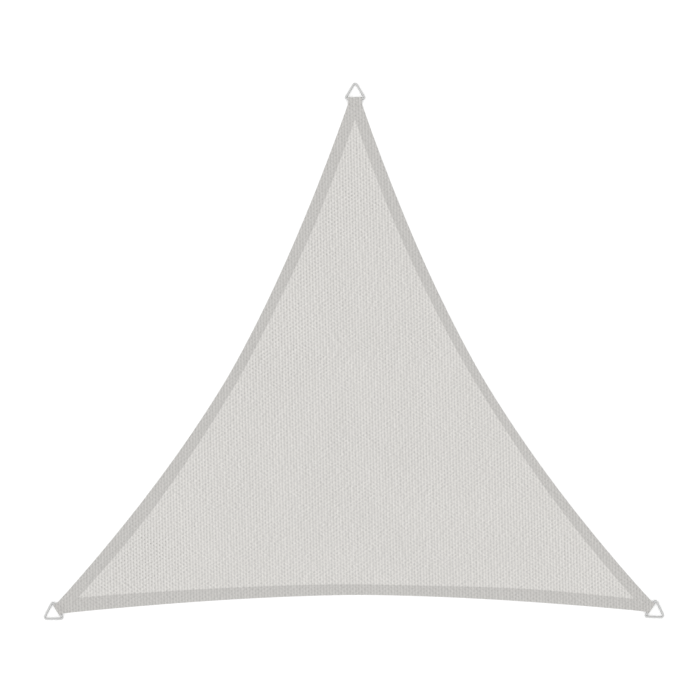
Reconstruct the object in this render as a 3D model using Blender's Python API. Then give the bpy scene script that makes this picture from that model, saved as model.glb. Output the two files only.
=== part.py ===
"""A triangular shade sail, 2 m across, lying face up: one knitted cloth with hemmed, hollow
sides, and a steel ring folded into each corner.

Metres. X runs to the sail's right and Y to its top corner, the underside lies at Z = 0, and the
origin is below the middle. At each corner, U is measured from the ring's bar the way the ring
pulls, so the cloth has negative U and the ring's point positive U.
"""

import math
from collections import namedtuple
from itertools import pairwise

import bmesh
import bpy
from mathutils import Vector
from mathutils.geometry import intersect_line_line_2d

# Cloth
PANEL_THICKNESS = 0.0012
HEM_THICKNESS = 0.0030  # the cloth and its turned-under hem
HEM_SLOPE = 0.012  # the face runs down from the hem to the panel within this width
STATIONS = 56  # along each side

# Ring: round bar bent to a triangle with a long side, the bar, and two equal limbs
WIRE = 0.006
RING_WIDTH = 0.065
BASE_ANGLE = math.radians(59.2)
BASE_BEND = 0.0036  # radius of the bar's middle line where it turns into the limbs
POINT_BEND = 0.0062  # and at the point between them
BEND_STEPS = 7
WIRE_SIDES = 14

# The corner's end of cloth round the bar
STRAP_THICKNESS = 0.00125
BAR_CLEARANCE = 0.00035
TUNNEL_RADIUS = WIRE / 2 + BAR_CLEARANCE
LOOP_RADIUS = TUNNEL_RADIUS + STRAP_THICKNESS
LOOP_STEPS = 12
BAR_HEIGHT = LOOP_RADIUS
RAMP = 0.034  # the cloth starts to rise this far behind the bar
SEAM = 0.026  # and its two layers part this far behind the bar
SEAM_HEIGHT = 0.0016
STRAP_ROWS = (0.004, 0.008, 0.012, 0.016, 0.021)  # distances behind the bar

# A corner: the middle of its bar, the ring's pull in degrees from +X, how far the cloth reaches
# along the bar to the side that ends here and to the side that starts here, and the distance
# behind the bar where the cloth begins to widen.
Corner = namedtuple("Corner", "name x y pull ending starting neck")
CORNERS = (
    Corner("top", 0.0038, 0.8158, 90.0, 0.0220, 0.0231, 0.0175),
    Corner("left", -0.9560, -0.8357, 211.5, 0.0205, 0.0171, 0.0086),
    Corner("right", 0.9569, -0.8293, -33.5, 0.0176, 0.0201, 0.0077),
)

# The sides, each from its corner to the next, counterclockwise. The hollow is deepest near the
# middle: power rounds it, and lean moves its deepest point towards the start. The hem's width
# is given at equal steps along the side.
Side = namedtuple("Side", "name hollow power lean hem_widths")
SIDES = (
    Side("left", 0.1088, 1.74, -0.045, (0.037, 0.0375, 0.0325, 0.0345, 0.0425, 0.038)),
    Side("bottom", 0.0564, 1.67, -0.007, (0.045, 0.0400, 0.0355, 0.0335, 0.0405, 0.036)),
    Side("right", 0.1080, 1.79, 0.043, (0.036, 0.0330, 0.0270, 0.0315, 0.0375, 0.037)),
)

# Finishes: colour, roughness, metallic
KNIT_FINISH = ((0.66, 0.645, 0.625, 1.0), 0.8, 0.0)
STEEL_FINISH = ((0.58, 0.58, 0.58, 1.0), 0.35, 1.0)


def pull_of(corner):
    angle = math.radians(corner.pull)
    return Vector((math.cos(angle), math.sin(angle)))


def corner_point(corner, u, across):
    """A point in plan, u beyond the bar and across to the left of the pull."""
    pull = pull_of(corner)
    return Vector((corner.x, corner.y)) + u * pull + across * pull.orthogonal()


def side_ends(index):
    corner, following = CORNERS[index], CORNERS[(index + 1) % 3]
    start = corner_point(corner, -corner.neck, corner.starting)
    end = corner_point(following, -following.neck, -following.ending)
    return start, end


def side_point(index, along):
    """The cut edge of a side at a share of its length."""
    side = SIDES[index]
    start, end = side_ends(index)
    inward = (end - start).normalized().orthogonal()
    leaned = along + side.lean * along * (1 - along)
    hollow = side.hollow * (1 - abs(2 * leaned - 1) ** side.power)
    return start.lerp(end, along) + inward * hollow


def hem_width(index, along):
    """A smooth curve through the side's table of widths."""
    widths = SIDES[index].hem_widths
    place = min(max(along, 0.0), 1.0) * (len(widths) - 1)
    step = min(int(place), len(widths) - 2)
    before, after = widths[max(step - 1, 0)], widths[min(step + 2, len(widths) - 1)]
    here, there = widths[step], widths[step + 1]
    t = place - step
    rise, fall = (there - before) / 2, (after - here) / 2
    return (
        here * (2 * t**3 - 3 * t**2 + 1)
        + rise * (t**3 - 2 * t**2 + t)
        + there * (3 * t**2 - 2 * t**3)
        + fall * (t**3 - t**2)
    )


def inset_point(index, along, extra):
    """The point past the hem's inner edge by extra, square to the cut edge."""
    near = 0.001
    run = side_point(index, along + near) - side_point(index, along - near)
    inward = run.normalized().orthogonal()
    return side_point(index, along) + inward * (hem_width(index, along) + extra)


def inset_outline(extra):
    """For each side, its inset line from where it meets the one before to where it meets the next."""
    fine = 400
    reach = fine // 6
    lines = [[inset_point(i, k / fine, extra) for k in range(fine + 1)] for i in range(3)]
    starts, ends = [0.0] * 3, [1.0] * 3
    tips = [None] * 3
    for i in range(3):
        following = (i + 1) % 3
        for a in range(fine - reach, fine):
            for b in range(reach):
                tip = intersect_line_line_2d(*lines[i][a : a + 2], *lines[following][b : b + 2])
                if tip:
                    ends[i], starts[following], tips[following] = a / fine, (b + 1) / fine, tip
    outline = []
    for i in range(3):
        inner = [
            inset_point(i, starts[i] + (ends[i] - starts[i]) * k / STATIONS, extra)
            for k in range(1, STATIONS)
        ]
        outline.append([tips[i], *inner, tips[(i + 1) % 3]])
    return outline


def along_at(index, behind, at_start):
    """The share of the side's length where it lies this far behind the bar at one of its ends."""
    corner = CORNERS[index if at_start else (index + 1) % 3]
    bar = Vector((corner.x, corner.y))
    low, high = (0.0, 0.2) if at_start else (1.0, 0.8)
    for _ in range(30):
        middle = (low + high) / 2
        if (bar - side_point(index, middle)).dot(pull_of(corner)) < behind:
            low = middle
        else:
            high = middle
    return low


def row_ends(number, u):
    """Where the row across a corner at this u meets the side that ends there and the one that starts."""
    corner = CORNERS[number]
    if -u <= corner.neck:
        return corner_point(corner, u, -corner.ending), corner_point(corner, u, corner.starting)
    before = (number - 1) % 3
    ending = side_point(before, along_at(before, -u, False))
    starting = side_point(number, along_at(number, -u, True))
    return ending, starting


def ramp_height(behind):
    """The top of the cloth behind the bar: level with the bar's loop, then down to the hem."""
    share = min(behind / RAMP, 1.0)
    smooth = share * share * (3 - 2 * share)
    return 2 * LOOP_RADIUS + (HEM_THICKNESS - 2 * LOOP_RADIUS) * smooth


def strap_sections():
    """(outer, inner) points as (u, z), from the seam under the bar, round it, to the seam on top."""
    under = [((-SEAM, 0.0), (-SEAM, SEAM_HEIGHT))]
    under += [((-row, 0.0), (-row, STRAP_THICKNESS)) for row in reversed(STRAP_ROWS)]
    turn = []
    for step in range(LOOP_STEPS + 1):
        angle = math.pi * (step / LOOP_STEPS - 0.5)
        out, up = math.cos(angle), math.sin(angle)
        outer = (LOOP_RADIUS * out, BAR_HEIGHT + LOOP_RADIUS * up)
        inner = (TUNNEL_RADIUS * out, BAR_HEIGHT + TUNNEL_RADIUS * up)
        turn.append((outer, inner))
    over = [
        ((-row, ramp_height(row)), (-row, ramp_height(row) - STRAP_THICKNESS))
        for row in STRAP_ROWS
    ]
    over += [((-SEAM, ramp_height(SEAM)), (-SEAM, SEAM_HEIGHT))]
    return under + turn + over


class Skin:
    """A mesh whose points are found again by their place, so that neighbouring faces share them."""

    def __init__(self):
        self.mesh = bmesh.new()
        self.found = {}

    def point(self, plan, z):
        key = (round(plan.x, 6), round(plan.y, 6), round(z, 6))
        if key not in self.found:
            self.found[key] = self.mesh.verts.new((plan.x, plan.y, z))
        return self.found[key]

    def face(self, *points):
        self.mesh.faces.new(points)


def add_corner(skin, number):
    """The end of the cloth from its ramp's foot round the bar and back under."""
    rings = []
    for (outer_u, outer_z), (inner_u, inner_z) in strap_sections():
        outer = [skin.point(end, outer_z) for end in row_ends(number, outer_u)]
        inner = [skin.point(end, inner_z) for end in row_ends(number, inner_u)]
        rings.append((outer[0], outer[1], inner[1], inner[0]))
    for here, there in pairwise(rings):
        for k in range(4):
            skin.face(here[k], here[k - 1], there[k - 1], there[k])
    foot_ends = row_ends(number, -RAMP)
    foot_top = [skin.point(end, HEM_THICKNESS) for end in foot_ends]
    foot_low = [skin.point(end, 0.0) for end in foot_ends]
    low_ending, low_starting, seam_starting, seam_ending = rings[0]
    top_ending, top_starting = rings[-1][:2]
    skin.face(top_ending, top_starting, foot_top[1], foot_top[0])
    skin.face(low_ending, low_starting, foot_low[1], foot_low[0])
    skin.face(foot_low[0], foot_top[0], top_ending, seam_ending, low_ending)
    skin.face(foot_low[1], foot_top[1], top_starting, seam_starting, low_starting)


def add_body(skin):
    """The hems, the slope inside them, the panel and the flat underside."""
    crest, foot = inset_outline(0.0), inset_outline(HEM_SLOPE)
    floor = []
    for i in range(3):
        first, last = along_at(i, RAMP, True), along_at(i, RAMP, False)
        edge = [side_point(i, first + (last - first) * k / STATIONS) for k in range(STATIONS + 1)]
        low = [skin.point(plan, 0.0) for plan in edge]
        top = [skin.point(plan, HEM_THICKNESS) for plan in edge]
        inner = [skin.point(plan, HEM_THICKNESS) for plan in crest[i]]
        down = [skin.point(plan, PANEL_THICKNESS) for plan in foot[i]]
        for outside, inside in ((low, top), (top, inner), (inner, down)):
            for k in range(STATIONS):
                skin.face(outside[k], outside[k + 1], inside[k + 1], inside[k])
        floor += low
        before_end = row_ends(i, -RAMP)[0]
        skin.face(skin.point(before_end, HEM_THICKNESS), top[0], inner[0])
    skin.face(*(skin.point(plan, PANEL_THICKNESS) for line in foot for plan in line[:-1]))
    skin.face(*reversed(floor))


def finish_of(name, finish):
    color, roughness, metallic = finish
    material = bpy.data.materials.new(name)
    material.use_nodes = True
    shader = material.node_tree.nodes["Principled BSDF"]
    shader.inputs["Base Color"].default_value = color
    shader.inputs["Roughness"].default_value = roughness
    shader.inputs["Metallic"].default_value = metallic
    return material


def new_object(name, mesh, material):
    mesh.materials.append(material)
    obj = bpy.data.objects.new(name, mesh)
    bpy.context.scene.collection.objects.link(obj)
    return obj


def make_cloth(material):
    skin = Skin()
    for number in range(3):
        add_corner(skin, number)
    add_body(skin)
    bmesh.ops.recalc_face_normals(skin.mesh, faces=skin.mesh.faces)
    mesh = bpy.data.meshes.new("sail_cloth")
    skin.mesh.to_mesh(mesh)
    skin.mesh.free()
    return new_object("sail_cloth", mesh, material)


def ring_bends():
    """(middle, radius, first angle, turn) of the ring's three bends, counterclockwise from the point."""
    corner = (RING_WIDTH - WIRE) / 2 - BASE_BEND
    half_base = corner + BASE_BEND / math.tan(BASE_ANGLE / 2)
    height = half_base * math.tan(BASE_ANGLE)
    point = Vector((height - POINT_BEND / math.cos(BASE_ANGLE), 0.0))
    turn = math.pi - BASE_ANGLE
    return (
        (point, POINT_BEND, -BASE_ANGLE, 2 * BASE_ANGLE),
        (Vector((BASE_BEND, corner)), BASE_BEND, BASE_ANGLE, turn),
        (Vector((BASE_BEND, -corner)), BASE_BEND, math.pi, turn),
    )


def ring_mesh():
    """The ring about its bar's middle: X towards the point, Y along the bar."""
    skin = bmesh.new()
    hoops = []
    for middle, radius, first, turn in ring_bends():
        for step in range(BEND_STEPS + 1):
            angle = first + turn * step / BEND_STEPS
            out = Vector((math.cos(angle), math.sin(angle)))
            hoop = []
            for side in range(WIRE_SIDES):
                around = math.tau * (side + 0.5) / WIRE_SIDES
                plan = middle + out * (radius + WIRE / 2 * math.cos(around))
                hoop.append(skin.verts.new((plan.x, plan.y, WIRE / 2 * math.sin(around))))
            hoops.append(hoop)
    for here, there in zip(hoops, hoops[1:] + hoops[:1], strict=True):
        for side in range(WIRE_SIDES):
            skin.faces.new((here[side - 1], here[side], there[side], there[side - 1]))
    bmesh.ops.recalc_face_normals(skin, faces=skin.faces)
    mesh = bpy.data.meshes.new("ring")
    skin.to_mesh(mesh)
    skin.free()
    mesh.shade_smooth()
    return mesh


def ring_tilt():
    """The ring leans down from its bar until its point rests on the ground."""
    point, radius, _, _ = ring_bends()[0]
    return math.asin((BAR_HEIGHT - WIRE / 2) / (point.x + radius))


def main():
    for obj in list(bpy.data.objects):
        bpy.data.objects.remove(obj)
    knit = finish_of("sail_knit", KNIT_FINISH)
    steel = finish_of("ring_steel", STEEL_FINISH)
    make_cloth(knit)
    for corner in CORNERS:
        ring = new_object("ring_" + corner.name, ring_mesh(), steel)
        ring.location = (corner.x, corner.y, BAR_HEIGHT)
        ring.rotation_euler = (0.0, ring_tilt(), math.radians(corner.pull))


main()
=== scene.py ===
import math

import bmesh
import bpy
import numpy as np
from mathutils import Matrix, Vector
from mathutils.geometry import delaunay_2d_cdt


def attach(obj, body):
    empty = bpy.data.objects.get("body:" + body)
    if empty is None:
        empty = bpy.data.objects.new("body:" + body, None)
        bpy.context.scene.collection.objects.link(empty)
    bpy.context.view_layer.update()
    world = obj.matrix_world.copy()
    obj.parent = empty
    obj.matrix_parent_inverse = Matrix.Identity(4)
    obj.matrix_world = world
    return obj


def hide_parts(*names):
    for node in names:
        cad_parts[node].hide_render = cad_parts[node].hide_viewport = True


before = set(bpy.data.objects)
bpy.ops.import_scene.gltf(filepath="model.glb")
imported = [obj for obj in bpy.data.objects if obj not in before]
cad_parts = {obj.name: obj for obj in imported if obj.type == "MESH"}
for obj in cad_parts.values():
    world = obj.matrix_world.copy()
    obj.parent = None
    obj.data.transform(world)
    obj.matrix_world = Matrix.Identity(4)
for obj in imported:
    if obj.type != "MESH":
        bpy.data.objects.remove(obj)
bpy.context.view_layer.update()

# Triangular shade sail lying face up: knitted cloth with hollow, hemmed sides and a steel ring folded
# into each corner. Metres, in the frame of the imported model: X right, Y to the top corner, floor at Z = 0.
# At a corner, u is measured from the ring's bar the way the ring pulls, and across to the left of it.

studio = {
    "centre": (-0.0128, 0.0044),  # of the view, straight above the sail
    "viewWidth": 2.261,
    "cameraHeight": 8.0,
    "cameraReach": 200.0,
    "floorSize": 60.0,
    "floorDrop": 0.0002,
    "floorColor": (0.96, 0.96, 0.96, 1.0),
    "skyColor": (1.0, 1.0, 1.0, 1.0),
    "skyStrength": 0.95,
    "sunStrength": 0.75,
    "sunAngle": 90.0,  # a wide sun, soft as a studio's light box
    "sunTilt": (10.0, -14.0, 0.0),
}

sail = {
    # bar: middle of the ring's bar; pull: degrees from X; ending, starting: how far the cloth reaches along
    # the bar to the side that ends there and the side that starts there; neck: where it begins to widen
    "corners": (
        {"name": "top", "bar": (0.0038, 0.8158), "pull": 90.0,
         "ending": 0.0220, "starting": 0.0231, "neck": 0.0175},
        {"name": "left", "bar": (-0.9560, -0.8357), "pull": 211.5,
         "ending": 0.0205, "starting": 0.0171, "neck": 0.0086},
        {"name": "right", "bar": (0.9569, -0.8293), "pull": -33.5,
         "ending": 0.0176, "starting": 0.0201, "neck": 0.0077},
    ),
    # Each side runs from its corner to the next. hollow: how deep it is cut in; power: 2 is a parabola and
    # less is more pointed; lean: above 0 puts the deepest place nearer the start; hem: widths at equal steps
    "sides": (
        {"hollow": 0.1088, "power": 1.74, "lean": -0.045,
         "hem": (0.037, 0.0375, 0.0325, 0.0345, 0.0425, 0.038)},
        {"hollow": 0.0564, "power": 1.67, "lean": -0.007,
         "hem": (0.045, 0.0400, 0.0355, 0.0335, 0.0405, 0.036)},
        {"hollow": 0.1080, "power": 1.79, "lean": 0.043,
         "hem": (0.036, 0.0330, 0.0270, 0.0315, 0.0375, 0.037)},
    ),
    "stations": 230,  # along each side
    "panelHeight": 0.0010,  # before the slack lifts it
    "hemTop": 0.0029,
    "hemLow": 0.0003,
    "foldSteps": 8,
    # rows beside the hem's inner edge: distance inside it, height and layers of cloth less one
    "hemRows": (
        (-0.0075, 0.0029, 1.0),
        (-0.0055, 0.0026, 1.0),  # the seam's thread pulls the cloth down
        (-0.0035, 0.0029, 1.0),
        (-0.0012, 0.0026, 1.0),
        (0.0018, 0.0014, 0.0),
        (0.0050, 0.0010, 0.0),
    ),
    "hemSteps": 4,  # from the seam to the fold
    "underSteps": 4,
    "underEdge": -0.0005,  # of the cloth turned under, from the hem's inner edge
    "cut": {"width": 2.06, "length": 1.80, "area": 1.58},  # the cloth before it was hemmed
    "mergeWithin": 5e-6,  # points of neighbouring parts
}


def smooth(share):  # from 0 to 1, slow at both ends
    share = np.clip(share, 0.0, 1.0)
    return share * share * (3 - 2 * share)


def turned(direction):  # a quarter turn to the left
    return np.stack((-direction[..., 1], direction[..., 0]), axis=-1)


def unit(direction):
    return direction / np.linalg.norm(direction, axis=-1, keepdims=True)


def cross(a, b):
    return a[..., 0] * b[..., 1] - a[..., 1] * b[..., 0]


def pullOf(corner):
    angle = math.radians(corner["pull"])
    return np.array((math.cos(angle), math.sin(angle)))


def cornerPoint(corner, u, across):
    pull = pullOf(corner)
    return np.array(corner["bar"]) + u * pull + across * turned(pull)


def sideEnds(number):
    corner = sail["corners"][number]
    following = sail["corners"][(number + 1) % 3]
    start = cornerPoint(corner, -corner["neck"], corner["starting"])
    end = cornerPoint(following, -following["neck"], -following["ending"])
    return start, end


def sidePoint(number, along):
    side = sail["sides"][number]
    start, end = sideEnds(number)
    along = np.asarray(along, float)[..., None]
    leaned = along + side["lean"] * along * (1 - along)
    hollow = side["hollow"] * (1 - np.abs(2 * leaned - 1) ** side["power"])
    return start + along * (end - start) + hollow * turned(unit(end - start))


def inwardAt(number, along):  # the way into the cloth, square to the side
    near = 0.001
    along = np.asarray(along, float)
    return turned(unit(sidePoint(number, along + near) - sidePoint(number, along - near)))


def hemWidth(number, along):  # a smooth curve through the side's widths
    widths = np.array(sail["sides"][number]["hem"])
    last = len(widths) - 1
    place = np.clip(along, 0.0, 1.0) * last
    step = np.minimum(place.astype(int), last - 1)
    t = place - step
    here, there = widths[step], widths[step + 1]
    startSlope = (there - widths[np.maximum(step - 1, 0)]) / 2
    endSlope = (widths[np.minimum(step + 2, last)] - here) / 2
    return (
        here * (2 * t**3 - 3 * t**2 + 1)
        + startSlope * (t**3 - 2 * t**2 + t)
        + there * (3 * t**2 - 2 * t**3)
        + endSlope * (t**3 - t**2)
    )


def insetLine(number, along, extra):  # along a hem's inner edge, and this much further inside
    width = hemWidth(number, np.asarray(along, float))[..., None] + extra
    return sidePoint(number, along) + inwardAt(number, along) * width


def insetRow(extra):  # (side, station, xy), each side's line cut to where it meets its neighbours
    fine = 500  # steps along a side
    reach = fine // 6  # of them, near each corner, where the lines meet
    shares = np.linspace(0, 1, fine + 1)
    lines = [insetLine(number, shares, extra) for number in range(3)]
    starts, ends, tips = [0.0] * 3, [1.0] * 3, [None] * 3
    for number in range(3):
        following = (number + 1) % 3
        ending, starting = lines[number][fine - reach :], lines[following][: reach + 1]
        # each step of the one line against each step of the other
        here, hereStep = ending[:-1, None], np.diff(ending, axis=0)[:, None]
        there, thereStep = starting[None, :-1], np.diff(starting, axis=0)[None]
        turn = cross(hereStep, thereStep)
        alongHere = cross(there - here, thereStep) / turn
        alongThere = cross(there - here, hereStep) / turn
        meets = (alongHere >= 0) & (alongHere < 1) & (alongThere >= 0) & (alongThere < 1)
        first, second = np.argwhere(meets)[0]
        ends[number] = (fine - reach + first + alongHere[first, second]) / fine
        starts[following] = (second + alongThere[first, second]) / fine
        tips[following] = here[first, 0] + alongHere[first, second] * hereStep[first, 0]
    rows = []
    for number in range(3):
        shares = np.linspace(starts[number], ends[number], sail["stations"] + 1)
        row = insetLine(number, shares, extra)
        row[0], row[-1] = tips[number], tips[(number + 1) % 3]
        rows.append(row)
    return np.array(rows)


def alongAt(number, behind, atStart):
    # the share of a side where it lies this far behind the bar at its start or end, found by halving
    near, halvings = 0.2, 40  # it is within this share of that end
    corner = sail["corners"][number if atStart else (number + 1) % 3]
    low, high = (0.0, near) if atStart else (1.0, 1 - near)
    for _ in range(halvings):
        middle = (low + high) / 2
        reached = (np.array(corner["bar"]) - sidePoint(number, middle)) @ pullOf(corner)
        if reached < behind:
            low = middle
        else:
            high = middle
    return low


def cornerEdge(number, u, starting):  # a point of the sail's outline near the bar, and the way out from it
    corner = sail["corners"][number]
    sign = 1 if starting else -1
    if -u <= corner["neck"]:
        reach = corner["starting" if starting else "ending"]
        return cornerPoint(corner, u, sign * reach), sign * turned(pullOf(corner))
    side = number if starting else (number - 1) % 3
    along = alongAt(side, -u, starting)
    return sidePoint(side, along), -inwardAt(side, along)


class Cloth:  # gathers points with their place on the flat cut, and faces over them
    def __init__(self):
        self.points, self.flats, self.layers, self.gaps, self.faces = [], [], [], [], []
        self.count = 0

    def add(self, plan, height, layers, flat=None, gaps=0.0):
        shape = plan.shape[:-1]
        points = np.concatenate((plan, np.broadcast_to(height, shape)[..., None]), axis=-1)
        self.points.append(points.reshape(-1, 3))
        self.flats.append((plan if flat is None else flat).reshape(-1, 2))
        self.layers.append(np.broadcast_to(layers, shape).reshape(-1))
        self.gaps.append(np.full(math.prod(shape), gaps))
        numbers = self.count + np.arange(math.prod(shape)).reshape(shape)
        self.count += numbers.size
        return numbers

    def grid(self, numbers, closed=False):  # faces between neighbouring rows of numbered points
        if closed:
            numbers = np.concatenate((numbers, numbers[:, :1]), axis=1)
        a, b, c, d = numbers[:-1, :-1], numbers[:-1, 1:], numbers[1:, 1:], numbers[1:, :-1]
        self.faces += np.stack((a, b, c, d), axis=-1).reshape(-1, 4).tolist()


def foldOver(edge, outward, radius, high, low):
    # (plan, height, flat) of the points round a fold, from the face to the underside
    angles = np.linspace(math.pi / 2, -math.pi / 2, sail["foldSteps"] + 1)[:, None]
    start = edge - outward * radius
    plan = start[None] + outward[None] * radius * np.cos(angles)[..., None]
    height = (high + low) / 2 + (high - low) / 2 * np.sin(angles)
    flat = start[None] + outward[None] * (radius * (math.pi / 2 - angles))[..., None]
    return plan, np.broadcast_to(height, plan.shape[:-1]), flat


def addHem(cloth, number, rows, underRow):
    stations = sail["stations"]
    first, last = alongAt(number, strap["ramp"], True), alongAt(number, strap["ramp"], False)
    shares = np.linspace(first, last, stations + 1)
    edge, outward = sidePoint(number, shares), -inwardAt(number, shares)
    high, low = sail["hemTop"], sail["hemLow"]
    radius = (high - low) / 2
    foldPlan, foldHeight, foldFlat = (part[::-1] for part in foldOver(edge, outward, radius, high, low))

    underEdge = underRow[number]
    share = np.linspace(0, 1, sail["underSteps"] + 1)[:-1, None, None]
    underPlan = underEdge + (foldPlan[0] - underEdge) * share
    depth = np.sum((underPlan - edge) * outward, axis=-1, keepdims=True)
    around = (math.pi - 2) * radius  # the fold's length past twice its depth
    underFlat = underPlan + outward * (around - 2 * depth)  # as it lay before it was turned under

    seam = rows[0][number]
    share = np.linspace(0, 1, sail["hemSteps"] + 1)[1:-1, None, None]
    topPlan = foldPlan[-1] + (seam - foldPlan[-1]) * share

    innerPlan = np.array([row[number] for row in rows])
    _, innerHeights, innerLayers = np.array(sail["hemRows"]).T

    plans = [underPlan, foldPlan, topPlan, innerPlan]
    flats = [underFlat, foldFlat, topPlan, innerPlan]
    heights = [
        np.full(underPlan.shape[:2], low),
        foldHeight,
        np.full(topPlan.shape[:2], high),
        np.repeat(innerHeights[:, None], stations + 1, axis=1),
    ]
    layers = [np.ones(plan.shape[:2]) for plan in plans[:3]]
    layers.append(np.repeat(innerLayers[:, None], stations + 1, axis=1))
    numbers = cloth.add(
        np.concatenate(plans), np.concatenate(heights), np.concatenate(layers), np.concatenate(flats)
    )
    cloth.grid(numbers)
    under, fold, top, _ = np.cumsum([len(plan) for plan in plans])  # where each part's rows end
    return {
        "under": numbers[: under + 1],
        "top": numbers[fold - 1 : top + 1],
        "inner": numbers[-1],
    }


strap = {
    "ramp": 0.034,  # the cloth starts to rise this far behind the bar
    "tail": 0.025,  # its end, folded back under, stops at the last row within this distance
    "closed": 0.0205,  # its two layers lie on each other from here back to that end
    "loopRadius": 0.0046,
    "barHeight": 0.0046,
    "thickness": 0.00125,
    "thinBehind": 0.016,  # the hem's layers lie tight on each other from here to the bar
    # rows of points across it, by their distance behind the bar
    "rows": (0.034, 0.0315, 0.029, 0.0265, 0.024, 0.0215, 0.019, 0.0165, 0.014, 0.0115, 0.009, 0.0065,
             0.004, 0.0018),
    "turnSteps": 18,
    "acrossSteps": 14,
    "tailHeight": 0.0003,
    "tailRamp": 0.012,  # behind the bar, where the end folded under has come to that height
}


def strapSections():
    # for each row round the bar: the outer skin's (u, z), the inner skin's, and the cloth's length so far
    radius, middle = strap["loopRadius"], strap["barHeight"]
    thin, full = strap["thickness"], sail["hemTop"] - sail["hemLow"]
    tailTop = strap["tailHeight"] + thin
    behind = np.array(strap["rows"])
    thinning = (behind - strap["thinBehind"]) / (strap["ramp"] - strap["thinBehind"])
    thick = thin + (full - thin) * smooth(thinning)
    onTail = 1 - smooth((behind - strap["tail"]) / (strap["ramp"] - strap["tail"]))
    onBar = 1 - smooth(behind / strap["closed"])
    bottom = sail["hemLow"] + (tailTop - sail["hemLow"]) * onTail
    bottom += (middle + radius - thin - tailTop) * onBar
    upper = np.stack((-behind, bottom + thick, -behind, bottom), axis=-1)
    angles = np.linspace(math.pi / 2, -math.pi / 2, strap["turnSteps"] + 1)
    inside = radius - thin
    turn = np.stack(
        (
            radius * np.cos(angles),
            middle + radius * np.sin(angles),
            inside * np.cos(angles),
            middle + inside * np.sin(angles),
        ),
        axis=-1,
    )
    back = behind[::-1][behind[::-1] <= strap["tail"]]
    low = strap["tailHeight"] * smooth(back / strap["tailRamp"])
    lower = np.stack((-back, low, -back, low + thin), axis=-1)
    sections = np.concatenate((upper, turn, lower))
    steps = np.linalg.norm(np.diff(sections[:, :2], axis=0), axis=1)
    length = -strap["ramp"] + np.concatenate(((0.0,), np.cumsum(steps)))
    return sections, length


def addStrap(cloth, number):
    corner = sail["corners"][number]
    bar, pull = np.array(corner["bar"]), pullOf(corner)
    sideways = turned(pull)
    shares = np.linspace(0, 1, strap["acrossSteps"] + 1)
    angles = np.linspace(math.pi / 2, -math.pi / 2, sail["foldSteps"] + 1)[1:-1]
    rings, flats = [], []
    for section, run in zip(*strapSections()):
        outer, inner = section[:2], section[2:]
        middle, half = (outer + inner) / 2, (outer - inner) / 2
        radius = np.linalg.norm(half)
        row = min(outer[0], 0.0)
        ends = []
        for starting in (False, True):
            # where the flat skins end and the round edge begins, as u past the row and across
            edge, outward = cornerEdge(number, row, starting)
            start = edge - outward * radius - bar
            start = np.array((start @ pull - row, start @ sideways))
            ends.append((start, (outward @ pull, outward @ sideways)))
        (right, outRight), (left, outLeft) = ends
        flat = right + (left - right) * shares[:, None]

        def skin(u, z):
            return np.column_stack((u + flat[:, 0], flat[:, 1], np.full(len(flat), z)))

        def rounded(start, out):
            reach = radius * np.cos(angles)
            rise = np.sin(angles)
            u = middle[0] + half[0] * rise + start[0] + out[0] * reach
            return np.column_stack((u, start[1] + out[1] * reach, middle[1] + half[1] * rise))

        def unrolled(start, out):
            return np.array((run, 0)) + start + np.outer(radius * (math.pi / 2 - angles), out)

        parts = (skin(*outer), rounded(left, outLeft), skin(*inner)[::-1], rounded(right, outRight)[::-1])
        rings.append(np.concatenate(parts))
        flat = flat + np.array((run, 0))
        parts = (flat, unrolled(left, outLeft), flat[::-1], unrolled(right, outRight)[::-1])
        flats.append(np.concatenate(parts))
    rings, flats = np.array(rings), np.array(flats)
    plan = bar + rings[..., :1] * pull + rings[..., 1:2] * sideways
    flatPlan = bar + flats[..., :1] * pull + flats[..., 1:] * sideways
    numbers = cloth.add(plan, rings[..., 2], 1.0, flatPlan)
    cloth.grid(numbers[::-1], closed=True)
    cloth.faces.append(numbers[-1, ::-1].tolist())
    count, turn = len(shares), len(angles)
    return {"top": numbers[0, :count], "under": numbers[0, count + turn : 2 * count + turn][::-1]}


def insideOf(points, outline):  # which points lie inside a closed line
    inside = np.zeros(len(points), bool)
    x, y = points[:, 0], points[:, 1]
    for (x0, y0), (x1, y1) in zip(outline, np.roll(outline, -1, axis=0)):
        if y0 == y1:
            continue
        crosses = (y0 > y) != (y1 > y)
        inside ^= crosses & (x < x0 + (y - y0) * (x1 - x0) / (y1 - y0))
    return inside


knit = {
    "wale": 0.00954,  # from one upright rib of stitches to the next
    "course": 0.01228,  # from one gap to the next between two ribs
    "slant": 0.0252,  # the ribs lean this much to the left as they rise
    "gapHalfWidth": 0.00052,
    "gapHalfLength": 0.00090,
    "gapShoulder": 0.0004,  # half of the straight length at a gap's widest
    "gapSpread": 0.22,  # the gaps' sizes differ by up to this share
    "gapStray": 0.0004,  # how far their middles stray at most, each way
    "ribRise": 0.0004,  # above the panel's height
    "webDrop": 0.0001,  # below it
    "edgeRoom": 0.0055,  # whole cells keep this far inside the hem
    "reach": (1.1, 1.0),  # to each side of the origin and up and down, more than the sail has
    "seed": 4,
}


def knitPlan(ribs, courses):  # from counts of ribs and courses to a place in plan
    y = courses * knit["course"]
    return np.stack((ribs * knit["wale"] - knit["slant"] * y, y), axis=-1)


def knitCounts(plan):  # and back
    x, y = plan[..., 0], plan[..., 1]
    return (x + knit["slant"] * y) / knit["wale"], y / knit["course"]


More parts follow.
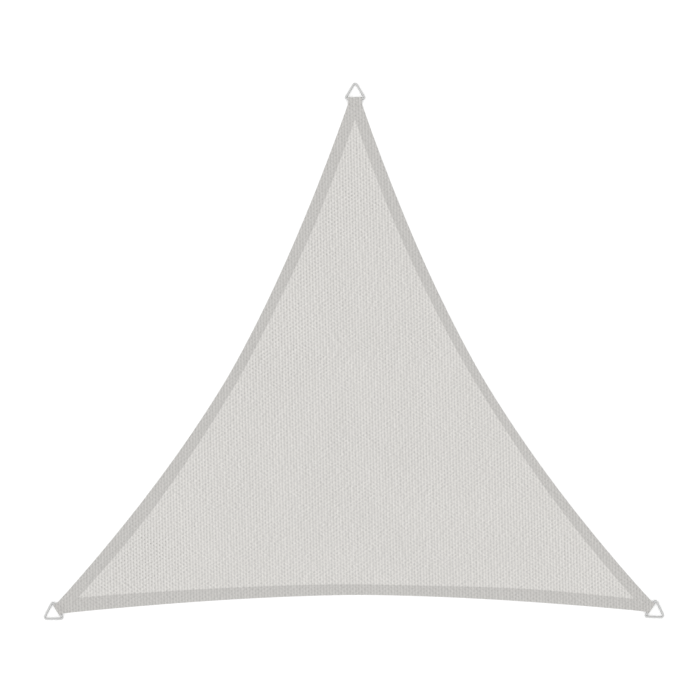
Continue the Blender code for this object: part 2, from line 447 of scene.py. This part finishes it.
def addKnit(cloth, limit):
    # The panel: ribs joined by webs, with a six-sided gap in each cell. A cell lies between two ribs and is
    # one course long, and the cells of every other column are shifted by half a course.
    ribReach, courseReach = int(knit["reach"][0] / knit["wale"]), int(knit["reach"][1] / knit["course"])
    columns, courses = np.arange(-ribReach, ribReach), np.arange(-courseReach, courseReach)
    column, course = (part.ravel() for part in np.meshgrid(columns, courses))
    half = 2 * course + column % 2  # the gap's middle, in half courses
    corners = [(column + a, half + b) for a in (0, 1) for b in (-1, 0, 1)]
    kept = np.ones(len(column), bool)
    for rib, place in corners:
        kept &= insideOf(knitPlan(rib, place / 2), limit)
    column, half = column[kept], half[kept]

    def shared(across, places):  # one number for each different point
        keys, back = np.unique(np.stack((across, places), axis=-1), axis=0, return_inverse=True)
        return keys, back.reshape(-1)

    size = len(column)
    ribKeys, ribBack = shared(
        np.concatenate([column + a for a in (0, 1) for _ in (0, 1, 2)]),
        np.concatenate([half + b for _ in (0, 1) for b in (-1, 0, 1)]),
    )
    webKeys, webBack = shared(np.concatenate((column, column)), np.concatenate((half - 1, half + 1)))
    level = sail["panelHeight"]
    ribPlan = knitPlan(ribKeys[:, 0], ribKeys[:, 1] / 2)
    ribs = cloth.add(ribPlan, level + knit["ribRise"], 0.0, gaps=1.0)
    webPlan = knitPlan(webKeys[:, 0] + 0.5, webKeys[:, 1] / 2)
    webs = cloth.add(webPlan, level - knit["webDrop"], 0.0, gaps=1.0)
    lowLeft, left, highLeft, lowRight, right, highRight = ribs[ribBack].reshape(6, size)
    lowWeb, highWeb = webs[webBack].reshape(2, size)
    wide, long, shoulder = knit["gapHalfWidth"], knit["gapHalfLength"], knit["gapShoulder"]
    rim = np.array((
        (0, long), (wide, shoulder), (wide, -shoulder), (0, -long), (-wide, -shoulder), (-wide, shoulder),
    ))
    middle = knitPlan(column + 0.5, half / 2)[:, None]
    chance = np.random.default_rng(knit["seed"])
    rim = rim * (1 + knit["gapSpread"] * chance.uniform(-1, 1, (size, 1, 2)))
    middle = middle + knit["gapStray"] * chance.uniform(-1, 1, (size, 1, 2))
    gaps = cloth.add(middle + rim, level, 0.0, gaps=1.0)
    top, upRight, downRight, bottom, downLeft, upLeft = gaps.T
    cell = (
        (highLeft, top, highWeb), (highWeb, top, highRight), (highRight, top, upRight),
        (highRight, upRight, right), (right, upRight, downRight), (right, downRight, lowRight),
        (lowRight, downRight, bottom), (lowRight, bottom, lowWeb), (lowWeb, bottom, lowLeft),
        (lowLeft, bottom, downLeft), (lowLeft, downLeft, left), (left, downLeft, upLeft),
        (left, upLeft, highLeft), (highLeft, upLeft, top),
    )
    cloth.faces += np.stack([np.stack(face, axis=-1) for face in cell], axis=1).reshape(-1, 3).tolist()

    around = (highLeft, highWeb, highRight, right, lowRight, lowWeb, lowLeft, left)
    pairs = zip(around, around[1:] + around[:1])
    edges = np.stack([np.stack(pair, axis=-1) for pair in pairs])
    edges = np.sort(edges.reshape(-1, 2), axis=1)
    edges, uses = np.unique(edges, axis=0, return_counts=True)
    keptCells = set(zip(column.tolist(), half.tolist()))
    return edges[uses == 1], keptCells


def fillPlan(cloth, numbers, edges, keep, up=True):
    # triangles between numbered points as seen in plan, held to these edges, where keep says so
    insideEdges, nearness = 1, 1e-7
    points = np.concatenate(cloth.points)[numbers]
    place = {number: k for k, number in enumerate(numbers.tolist())}
    held = [(place[a], place[b]) for a, b in edges.tolist()]
    places = [Vector(point) for point in points[:, :2]]
    plan, _, faces, sources, _, _ = delaunay_2d_cdt(places, held, [], insideEdges, nearness)
    plan = np.array(plan)[np.array(faces)]
    rises = cross(plan[:, 1] - plan[:, 0], plan[:, 2] - plan[:, 0]) > 0
    for face, kept, rising in zip(faces, keep(plan.mean(axis=1)), rises):
        if kept:
            corners = [int(numbers[sources[k][0]]) for k in face]
            cloth.faces.append(corners if rising == up else corners[::-1])


def ringOf(numbers):  # the edges of a closed line
    return np.stack((numbers, np.roll(numbers, -1)), axis=-1)


def joinKnit(cloth, rows, edges, keptCells):
    # the strip between the panel's whole cells and the row inside the hem
    loop = np.concatenate([row[:-1] for row in rows])
    outline = np.concatenate(cloth.points)[loop, :2]

    def keep(middles):
        rib, course = knitCounts(middles)
        column = np.floor(rib).astype(int)
        half = 2 * np.round(course - column % 2 / 2).astype(int) + column % 2
        taken = [cell in keptCells for cell in zip(column.tolist(), half.tolist())]
        return insideOf(middles, outline) & ~np.array(taken)

    numbers = np.concatenate((loop, np.unique(edges)))
    fillPlan(cloth, numbers, np.concatenate((ringOf(loop), edges)), keep)


def joinCorner(cloth, row, starting, ending, up):
    # the flat three-cornered place behind a strap, between the ends of its two hems
    points = np.concatenate(cloth.points)[np.concatenate((row, starting[1:], ending[::-1][1:-1]))]
    outline = points[:, :2]
    loop = cloth.add(outline, points[:, 2], 1.0)
    fillPlan(cloth, loop, ringOf(loop), lambda middles: insideOf(middles, outline), up)


swell = {
    "height": 0.0006,
    "share": 0.9,  # of that height, which the waves add or take
    # waves of the slack cloth: length, direction in degrees and start
    "waves": ((0.62, 20, 0.3), (0.47, 100, 1.9), (0.38, 155, 4.1), (0.29, 62, 2.6), (0.71, 130, 5.2)),
    "flatNear": 0.07,  # the cloth lies flat this near to a bar, and the slack is full from fullFrom on
    "fullFrom": 0.30,
}


def liftOf(plan):  # how far the slack lifts the lying cloth
    total = np.zeros(plan.shape[:-1])
    for length, direction, start in swell["waves"]:
        angle = math.radians(direction)
        run = plan @ np.array((math.cos(angle), math.sin(angle)))
        total += np.sin(math.tau * run / length + start)
    total = swell["height"] * (1 + swell["share"] * total / len(swell["waves"]))
    for corner in sail["corners"]:
        far = np.linalg.norm(plan - np.array(corner["bar"]), axis=-1)
        total *= smooth((far - swell["flatNear"]) / (swell["fullFrom"] - swell["flatNear"]))
    return total


def meshOf(name, points, faces):
    mesh = bpy.data.meshes.new(name)
    mesh.from_pydata(points, [], faces)
    mesh.update()
    obj = bpy.data.objects.new(name, mesh)
    bpy.context.collection.objects.link(obj)
    return obj


def keepFlat(mesh, cloth):  # each point's place on the flat cut, with the layers and gaps, for the finish
    flats = np.concatenate(cloth.flats)
    corners = np.zeros(len(mesh.loops), int)
    mesh.loops.foreach_get("vertex_index", corners)
    flatMap = mesh.uv_layers.new(name="flatCut")
    flatMap.data.foreach_set("uv", flats[corners].astype(np.float32).ravel())
    for name, parts in (("layers", cloth.layers), ("gaps", cloth.gaps)):
        attribute = mesh.attributes.new(name, "FLOAT", "POINT")
        attribute.data.foreach_set("value", np.concatenate(parts).astype(np.float32))
    print("cloth unrolls to", np.ptp(flats, axis=0).round(3), "m")


def makeCloth():
    cloth = Cloth()
    rows = [insetRow(extra) for extra, _, _ in sail["hemRows"]]
    underRow = insetRow(sail["underEdge"])
    hems = [addHem(cloth, number, rows, underRow) for number in range(3)]
    limit = insetRow(knit["edgeRoom"])[:, :-1].reshape(-1, 2)
    edges, keptCells = addKnit(cloth, limit)
    joinKnit(cloth, [hem["inner"] for hem in hems], edges, keptCells)
    for number in range(3):
        ends = addStrap(cloth, number)
        before, after = hems[number - 1], hems[number]
        joinCorner(cloth, ends["top"], after["top"][:, 0], before["top"][:, -1], True)
        joinCorner(cloth, ends["under"], after["under"][::-1, 0], before["under"][::-1, -1], False)
    points = np.concatenate(cloth.points)
    points[:, 2] += liftOf(points[:, :2])
    obj = meshOf("sailCloth", points, cloth.faces)
    mesh = obj.data
    keepFlat(mesh, cloth)
    work = bmesh.new()
    work.from_mesh(mesh)
    bmesh.ops.remove_doubles(work, verts=work.verts, dist=sail["mergeWithin"])
    work.to_mesh(mesh)
    work.free()
    mesh.shade_smooth()
    triangles = sum(len(face.vertices) - 2 for face in mesh.polygons)
    print("cloth:", len(mesh.vertices), "points,", triangles, "triangles,", len(keptCells), "gaps")
    return obj


class Value:  # a node's output, so that shader maths reads as sums
    def __init__(self, finish, node, output=0):
        self.finish, self.node, self.socket = finish, node, node.outputs[output]

    def __getitem__(self, output):
        return Value(self.finish, self.node, output)

    def __add__(self, other):
        return self.finish.maths("ADD", self, other)

    def __sub__(self, other):
        return self.finish.maths("SUBTRACT", self, other)

    def __rsub__(self, other):
        return self.finish.maths("SUBTRACT", other, self)

    def __mul__(self, other):
        return self.finish.maths("MULTIPLY", self, other)

    def __truediv__(self, other):
        return self.finish.maths("DIVIDE", self, other)

    __radd__, __rmul__ = __add__, __mul__


class Finish:  # a material built from nodes
    def __init__(self, name, **constants):
        self.material = bpy.data.materials.new(name)
        self.material.use_nodes = True
        self.tree = self.material.node_tree
        self.shader = self.tree.nodes["Principled BSDF"]
        for name, value in constants.items():
            self.shader.inputs[name.replace("_", " ")].default_value = value

    def feed(self, socket, value):
        if isinstance(value, Value):
            self.tree.links.new(value.socket, socket)
        else:
            socket.default_value = value

    def node(self, kind, settings=None, inputs=None):
        made = self.tree.nodes.new(kind)
        for name, value in (settings or {}).items():
            setattr(made, name, value)
        for name, value in (inputs or {}).items():
            self.feed(made.inputs[name], value)
        return Value(self, made)

    def maths(self, operation, *values):
        return self.node("ShaderNodeMath", {"operation": operation}, dict(enumerate(values)))

    def cosine(self, turns):
        return self.maths("COSINE", turns * math.tau)

    def ramped(self, value, low, high):  # 0 below low, 1 above high, smooth between
        inputs = {"Value": value, "From Min": low, "From Max": high}
        return self.node("ShaderNodeMapRange", {"interpolation_type": "SMOOTHSTEP"}, inputs)

    def combined(self, *parts):
        return self.node("ShaderNodeCombineXYZ", {}, dict(enumerate(parts)))

    def chance(self, across, along):  # a different number from 0 to 1 for each whole pair
        inputs = {"Vector": self.combined(across, along)}
        return self.node("ShaderNodeTexWhiteNoise", {"noise_dimensions": "2D"}, inputs)

    def uneven(self, across, along):  # as chance, from -1 to 1, and unlike its neighbour to one side
        return self.chance(across, along) - self.chance(across + 1, along)

    def clouds(self, place, scale, detail=2.0):  # soft noise round 0
        inputs = {"Vector": place, "Scale": scale, "Detail": detail}
        return self.node("ShaderNodeTexNoise", {"noise_dimensions": "3D"}, inputs) - 0.5

    def toned(self, color, tone):  # a colour made lighter or darker
        return self.node("ShaderNodeVectorMath", {"operation": "SCALE"}, {0: color, "Scale": tone})

    def into(self, name, value):
        self.feed(self.shader.inputs[name], value)

    def relief(self, height, millimetres=1.0):  # how much of a bump a height of 1 makes
        inputs = {"Strength": 1.0, "Distance": millimetres / 1000, "Height": height}
        self.into("Normal", self.node("ShaderNodeBump", {}, inputs))


knitLook = {
    "color": (0.6027, 0.5893, 0.5690),
    # painted shade: the single layer lets light from the floor beneath show through it and the double hems
    # do not, so the hems are painted darker
    "hemTone": 0.8070,
    "hemContrast": 0.85,
    # ribs: how much lighter they are, partly for their denser yarn and partly as painted light on their
    # crests, where they are lightest and where they pass into the tapes, in wales
    "ribTone": 0.094,
    "ribShift": -0.195,  # painted light: the ribs' lightest place is moved aside, as if they were lit from one side
    "ribEdge": (0.15, 0.27),
    "webTone": 0.032,  # lighter where the tapes crowd together, darker at the gaps
    # the tapes dip into each gap, which shades them
    "gapShade": 0.114,
    "hemShade": 0.085,  # the same in the hems, where the layer below fills the gaps
    "gapUneven": 0.9,  # how much the gaps' shades differ
    "dipHalfWidth": 0.002795,
    "dipHalfLength": 0.0042875,
    "dipCore": 0.28,  # share of the dip that has the full shade
    # each rib is a chain of loops, and tapes cross from rib to rib
    "loopsPerCourse": 3,
    "tapesPerCourse": 4,
    "loopSlant": 2.2,  # how many loops or tapes one climbs over a wale's width
    "tapeSlant": 1.6,
    "yarnEdge": 0.36,  # of a loop or tape, from its middle to where its edge begins
    "loopEdge": 0.22,  # painted shade between loops, and between tapes, where one lies against the next
    "tapeEdge": 0.16,
    "loopSpread": 0.125,  # how much one loop's tone differs from the next, and one tape's
    "tapeSpread": 0.10,
    "crease": 0.16,  # fine streaks along each tape
    "creasesAcross": 7.0,
    "creasesAlong": 1.5,
    # slow changes along each line of yarn
    "streakTone": 0.044,
    "streakScale": 20.0,
    "streakApart": 3.7,  # so far that neighbouring lines have nothing in common
    "cloudTone": 0.070,
    "cloudScale": 5.0,
    "patchScale": 11.0,  # patches where the knit is tighter show more of its ribs and less of its gaps
    "ribPatch": 0.5,
    "webPatch": 1.2,
    "roughness": 0.74,
    "gapRoughness": 0.12,
    "ribGloss": 0.08,
    # relief in millimetres
    "ribRelief": 0.12,
    "loopRelief": 0.16,
    "tapeRelief": 0.10,
    "creaseRelief": 0.08,
    "gapRelief": 0.15,
}


def knitFinish():
    look = knitLook
    finish = Finish("sailKnit", Sheen_Weight=0.08, Sheen_Roughness=0.5)
    place = finish.node("ShaderNodeUVMap", {"uv_map": "flatCut"})
    flat = finish.node("ShaderNodeSeparateXYZ", {}, {0: place})
    layers = finish.node("ShaderNodeAttribute", {"attribute_name": "layers"})["Fac"]
    gapsHere = finish.node("ShaderNodeAttribute", {"attribute_name": "gaps"})["Fac"]
    across, up = flat["X"], flat["Y"]
    rib = (across + up * knit["slant"]) / knit["wale"]
    column = finish.maths("FLOOR", rib)
    shifted = finish.maths("FLOORED_MODULO", column, 2)
    courses = up / knit["course"]
    course = courses - shifted * 0.5
    fromGap = rib - column - 0.5  # 0 between two ribs, a half on a rib
    alongGap = course - finish.maths("ROUND", course)
    fromRib = 0.5 - finish.maths("ABSOLUTE", fromGap)
    onRib = 1 - finish.ramped(fromRib, *look["ribEdge"])

    # the dip round each gap: 1 at the gap, 0 outside
    wide = fromGap * (knit["wale"] / look["dipHalfWidth"])
    long = alongGap * (knit["course"] / look["dipHalfLength"])
    gap = 1 - finish.ramped(finish.maths("SQRT", wide * wide + long * long), look["dipCore"], 1.0)

    # the tapes lean the other way in every other column
    loop = courses * look["loopsPerCourse"] + fromRib * look["loopSlant"]
    tape = courses * look["tapesPerCourse"] + fromGap * (shifted * 2 - 1) * look["tapeSlant"]
    loopNumber, tapeNumber = finish.maths("ROUND", loop), finish.maths("ROUND", tape)
    loops, tapes = finish.cosine(loop), finish.cosine(tape)
    loopChance = finish.uneven(finish.maths("ROUND", rib), loopNumber)
    tapeChance = finish.uneven(column, tapeNumber)
    betweenLoops = finish.ramped(finish.maths("ABSOLUTE", loop - loopNumber), look["yarnEdge"], 0.5)
    betweenTapes = finish.ramped(finish.maths("ABSOLUTE", tape - tapeNumber), look["yarnEdge"], 0.5)
    creasePlace = finish.combined(tape * look["creasesAcross"], fromGap * look["creasesAlong"], column)
    creases = finish.clouds(creasePlace, 1.0)

    # the tone drifts along each rib and each row of tapes, and differs from its neighbours'
    line = finish.maths("ROUND", rib * 2) * look["streakApart"]
    drifts = [
        finish.clouds(finish.combined(start, up * look["streakScale"]), 1.0)
        for start in (line, line + look["streakApart"])
    ]
    streak = drifts[0] - drifts[1]
    cloud = finish.clouds(place, look["cloudScale"], detail=3.0)
    patch = finish.clouds(place, look["patchScale"])

    gapChance = finish.chance(column, finish.maths("ROUND", course)) - 0.5
    gapShade = look["hemShade"] + gapsHere * (look["gapShade"] - look["hemShade"])
    # painted light: the ribs are painted lighter on their crests and lit side, partly also for their denser
    # yarn
    ribDensityAndLitSide = finish.cosine(rib + look["ribShift"])
    webs = finish.cosine(course) * finish.cosine(fromGap * 0.5)
    contrast = 1 - layers * (1 - look["hemContrast"])
    # a random tone for each loop and tape, less the painted shade between them
    loopToneAndShade = loopChance * look["loopSpread"] - betweenLoops * look["loopEdge"]
    tapeToneAndShade = tapeChance * look["tapeSpread"] - betweenTapes * look["tapeEdge"] + creases * look["crease"]
    tone = 1 + contrast * (
        ribDensityAndLitSide * look["ribTone"] * (1 + patch * look["ribPatch"])
        - webs * look["webTone"] * (1 - patch * look["webPatch"])
        - gap * (1 + gapChance * look["gapUneven"]) * gapShade
        + loopToneAndShade * onRib
        + tapeToneAndShade * (1 - onRib)
        + streak * look["streakTone"]
    )
    # painted shade: darker where the cloth lies double, as less light comes through it from below
    tone = (tone + cloud * look["cloudTone"]) * (1 - layers * (1 - look["hemTone"]))
    finish.into("Base Color", finish.toned(look["color"], tone))
    finish.into("Roughness", look["roughness"] + gap * look["gapRoughness"] - onRib * look["ribGloss"])
    finish.relief(
        finish.cosine(rib) * look["ribRelief"]
        + loops * onRib * look["loopRelief"]
        + (tapes * look["tapeRelief"] + creases * look["creaseRelief"]) * (1 - onRib)
        - gap * look["gapRelief"]
    )
    return finish.material


thread = {
    "color": (0.585, 0.572, 0.553),
    "roughness": 0.6,
    "fibreScale": 900.0,
    "fibreTone": 0.2,
    "fibreRoughness": 0.2,
    "fibreRelief": 0.05,  # in millimetres
    "length": 0.0052,
    "straight": 0.55,  # share of the length between the ends that are drawn down
    "endDrop": 0.8,  # in radii
    "endThickness": 0.35,  # share of the stitch's
    "sides": 6,
    "pitch": 0.0064,
    "radius": 0.00042,
    "sunk": 0.00010,  # into the cloth
    "floorGap": 0.00001,
    "seamRow": -0.0055,  # inside the hem's inner edge
    "strapRows": (0.0225, 0.0275),  # across the strap, behind the bar
    "strapMargin": 0.0035,
    "strapPoints": 9,
}


def threadFinish():
    finish = Finish("seamThread", Sheen_Weight=0.1)
    place = finish.node("ShaderNodeTexCoord")["Object"]
    fibres = finish.clouds(place, thread["fibreScale"], detail=3.0)
    finish.into("Base Color", finish.toned(thread["color"], 1 + fibres * thread["fibreTone"]))
    finish.into("Roughness", thread["roughness"] + fibres * thread["fibreRoughness"])
    finish.relief(fibres, thread["fibreRelief"])
    return finish.material


def alone():  # nothing selected, so that an operator acts only on what comes next
    if bpy.context.object and bpy.context.object.mode != "OBJECT":
        bpy.ops.object.mode_set(mode="OBJECT")
    bpy.ops.object.select_all(action="DESELECT")


def pointsAndFaces(mesh):  # the faces in a set order, because edit mode's operators shuffle them
    points = [tuple(point.co) for point in mesh.vertices]
    faces = [list(face.vertices) for face in mesh.polygons]
    firsts = [face.index(min(face)) for face in faces]
    return points, sorted(face[k:] + face[:k] for face, k in zip(faces, firsts))


def makeStitch():  # one stitch along X: (points, faces), its ends drawn down into the cloth
    straight = thread["length"] * thread["straight"]
    endLength = (thread["length"] - straight) / 2
    alone()
    bpy.ops.mesh.primitive_cylinder_add(
        vertices=thread["sides"], radius=thread["radius"], depth=straight, rotation=(0, math.pi / 2, 0)
    )
    obj = bpy.context.object
    bpy.ops.object.transform_apply(location=False, rotation=True, scale=False)
    bpy.ops.object.mode_set(mode="EDIT")
    for sign in (-1, 1):
        bpy.ops.mesh.select_all(action="DESELECT")
        shape = bmesh.from_edit_mesh(obj.data)
        for face in shape.faces:
            face.select_set(face.normal.x * sign > 0.9)  # the flat end on this side
        bmesh.update_edit_mesh(obj.data)
        step = (sign * endLength, 0, -thread["radius"] * thread["endDrop"])
        bpy.ops.mesh.extrude_region_move(TRANSFORM_OT_translate={"value": step})
        bpy.ops.transform.resize(value=(1, thread["endThickness"], thread["endThickness"]))
    bpy.ops.object.mode_set(mode="OBJECT")
    points, faces = pointsAndFaces(obj.data)
    bpy.data.objects.remove(obj)
    return np.array(points), faces


def evenly(line, pitch):  # places and directions along a line of points
    steps = np.linalg.norm(np.diff(line[:, :2], axis=0), axis=1)
    length = np.concatenate(((0.0,), np.cumsum(steps)))
    count = int(length[-1] / pitch)
    at = (np.arange(count) + 0.5) * length[-1] / count

    def placeAt(run):
        return np.stack([np.interp(run, length, line[:, k]) for k in range(3)], axis=-1)

    return placeAt(at), unit(placeAt(at + pitch / 2) - placeAt(at - pitch / 2))


def sewLines(name, lines, below=False):  # stitches along each line, as one piece
    points, faces = makeStitch()
    if below:
        points = points * (1, 1, -1)
        faces = [face[::-1] for face in faces]
    allPoints, allFaces = [], []
    for line in lines:
        for place, ahead in zip(*evenly(line, thread["pitch"])):
            aside = unit(np.array((-ahead[1], ahead[0], 0.0)))
            up = np.cross(ahead, aside)
            first = len(allPoints) * len(points)
            allPoints.append(place + points @ np.stack((ahead, aside, up)))
            allFaces += [[first + k for k in face] for face in faces]
    obj = meshOf(name, np.concatenate(allPoints), allFaces)
    obj.data.shade_smooth()
    obj.data.materials.append(threadMaterial)
    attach(obj, "root")
    print(name, len(allPoints), "stitches")
    return obj


def seamLines():
    rows = insetRow(thread["seamRow"])
    seamHeight = min(sail["hemRows"], key=lambda row: abs(row[0] - thread["seamRow"]))[1]
    lift = thread["radius"] - thread["sunk"]
    face = [np.column_stack((row, seamHeight + liftOf(row) + lift)) for row in rows]
    low = thread["radius"] + thread["floorGap"]
    under = [np.column_stack((row, liftOf(row) + low)) for row in rows]
    sections, _ = strapSections()
    upper = sections[: len(strap["rows"])]
    for number in range(3):
        for behind in thread["strapRows"]:
            right = cornerEdge(number, -behind, False)[0]
            left = cornerEdge(number, -behind, True)[0]
            margin = unit(left - right) * thread["strapMargin"]
            plan = np.linspace(right + margin, left - margin, thread["strapPoints"])
            top = np.interp(-behind, upper[:, 0], upper[:, 1])
            face.append(np.column_stack((plan, np.full(len(plan), top + lift))))
            if behind < strap["tail"]:
                under.append(np.column_stack((plan, np.full(len(plan), low))))
    return face, under


steel = {
    "color": (0.525, 0.525, 0.521),
    "grainScale": 1400.0,
    "polishScale": 160.0,
    "grainTone": 0.06,
    "polishTone": 0.14,
    "roughness": 0.39,
    "grainRoughness": 0.10,
    "polishRoughness": 0.16,
    "relief": 0.03,  # of the grain, in millimetres
    "polishRelief": 0.6,  # share of the grain's
}


def steelFinish():
    finish = Finish("ringSteel", Metallic=1.0)
    place = finish.node("ShaderNodeTexCoord")["Object"]
    grain = finish.clouds(place, steel["grainScale"], detail=4.0)
    polish = finish.clouds(place, steel["polishScale"], detail=3.0)
    tone = 1 + polish * steel["polishTone"] + grain * steel["grainTone"]
    finish.into("Base Color", finish.toned(steel["color"], tone))
    rough = steel["roughness"] + polish * steel["polishRoughness"] + grain * steel["grainRoughness"]
    finish.into("Roughness", rough)
    finish.relief(grain + polish * steel["polishRelief"], steel["relief"])
    return finish.material


ring = {
    "wire": 0.006,
    "width": 0.065,
    "baseAngle": 59.2,  # degrees between the bar and each limb
    "baseBend": 0.0036,  # of the bar's middle line, where it turns into the limbs
    "pointBend": 0.0062,
    "sides": 24,
    "bendSteps": 16,
    # the weld: its limb, 0 from the bar's left end to the point and 1 back, and its place along it
    "weld": {"top": (0, 0.67), "left": (1, 0.46), "right": (0, 0.52)},
    # the weld bead: lengths and how much thicker each part is than the one before
    "bead": (
        (0.0008, 1.05), (0.0008, 1.06), (0.0011, 1.02), (0.0011, 0.98), (0.0008, 0.94), (0.0008, 0.955),
    ),
    "mergeWithin": 1e-5,
}


def makeRing(corner):
    # drawn as a maker bends it: a round section pushed along the bar, turned at each corner and closed
    wire, baseBend, pointBend = ring["wire"] / 2, ring["baseBend"], ring["pointBend"]
    base = math.radians(ring["baseAngle"])
    straight = ring["width"] / 2 - wire - baseBend  # from the bar's middle to where it turns
    halfBase = straight + baseBend / math.tan(base / 2)
    pointAt = halfBase * math.tan(base) - pointBend / math.cos(base)
    limb = (halfBase - pointBend * math.sin(base)) / math.cos(base) - baseBend / math.tan(base / 2)
    bends = (
        ((baseBend, straight), math.pi - base),
        ((pointAt, 0.0), 2 * base),
        ((baseBend, -straight), math.pi - base),
    )
    weldLimb, weldPlace = ring["weld"][corner["name"]]
    alone()
    bpy.ops.mesh.primitive_circle_add(vertices=ring["sides"], radius=wire, rotation=(math.pi / 2, 0, 0))
    obj = bpy.context.object
    obj.name = obj.data.name = "steelRing" + corner["name"].capitalize()
    bpy.ops.object.transform_apply(location=False, rotation=True, scale=False)
    bpy.ops.object.mode_set(mode="EDIT")
    bpy.ops.mesh.select_all(action="SELECT")
    heading = math.pi / 2

    def push(length):
        step = (length * math.cos(heading), length * math.sin(heading), 0)
        bpy.ops.mesh.extrude_region_move(TRANSFORM_OT_translate={"value": step})

    push(straight)
    for number, (middle, turn) in enumerate(bends):
        bpy.ops.mesh.spin(
            steps=ring["bendSteps"], angle=turn, center=(*middle, 0), axis=(0, 0, 1), use_auto_merge=False
        )
        heading -= turn
        if number == weldLimb:
            beadLength = sum(length for length, _ in ring["bead"])
            before = limb * weldPlace - beadLength / 2
            push(before)
            for length, thicker in ring["bead"]:
                push(length)
                bpy.ops.transform.resize(value=(thicker,) * 3)
            push(limb - before - beadLength)
        elif number < len(bends) - 1:
            push(limb)
    push(straight)
    bpy.ops.mesh.select_all(action="SELECT")
    bpy.ops.mesh.remove_doubles(threshold=ring["mergeWithin"])
    bpy.ops.mesh.normals_make_consistent(inside=False)
    bpy.ops.object.mode_set(mode="OBJECT")
    points, faces = pointsAndFaces(obj.data)
    obj.data.clear_geometry()
    obj.data.from_pydata(points, [], faces)
    obj.data.update()
    obj.data.shade_smooth()
    tilt = math.asin((strap["barHeight"] - wire) / (pointAt + pointBend))
    obj.location = (*corner["bar"], strap["barHeight"])
    obj.rotation_euler = (0, tilt, math.radians(corner["pull"]))
    bpy.ops.object.transform_apply(location=True, rotation=True, scale=True)
    obj.data.materials.append(steelMaterial)
    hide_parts("ring_" + corner["name"])
    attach(obj, "root")
    print("ring", corner["name"], len(obj.data.polygons), "faces")
    return obj


def makeStudio():
    scene = bpy.context.scene
    scene.view_settings.view_transform = "Standard"
    bpy.ops.object.camera_add(location=(*studio["centre"], studio["cameraHeight"]), rotation=(0, 0, 0))
    scene.camera = bpy.context.object
    lens = scene.camera.data
    lens.lens = lens.sensor_width * studio["cameraHeight"] / studio["viewWidth"]
    lens.clip_end = studio["cameraReach"]
    alone()
    bpy.ops.mesh.primitive_plane_add(size=studio["floorSize"], location=(0, 0, -studio["floorDrop"]))
    floor = bpy.context.object
    floor.name = "studioFloor"
    finish = Finish("floorPaint", Base_Color=studio["floorColor"], Roughness=0.9, Specular_IOR_Level=0.1)
    floor.data.materials.append(finish.material)
    sun = bpy.data.lights.new("sun", "SUN")
    sun.energy = studio["sunStrength"]
    sun.angle = math.radians(studio["sunAngle"])
    lamp = bpy.data.objects.new("sun", sun)
    lamp.rotation_euler = [math.radians(tilt) for tilt in studio["sunTilt"]]
    bpy.context.collection.objects.link(lamp)
    scene.world = bpy.data.worlds.new("sky")
    scene.world.use_nodes = True
    sky = scene.world.node_tree.nodes["Background"]
    sky.inputs["Color"].default_value = studio["skyColor"]
    sky.inputs["Strength"].default_value = studio["skyStrength"]


makeStudio()
print("studio ready")

sailCloth = makeCloth()
sailCloth.data.materials.append(knitFinish())
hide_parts("sail_cloth")
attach(sailCloth, "root")

threadMaterial = threadFinish()
faceLines, underLines = seamLines()
seams = [sewLines("seamStitches", faceLines), sewLines("underStitches", underLines, below=True)]

steelMaterial = steelFinish()
rings = [makeRing(corner) for corner in sail["corners"]]

sail["cut"]["width"]
sail["cut"]["length"]
sail["cut"]["area"]
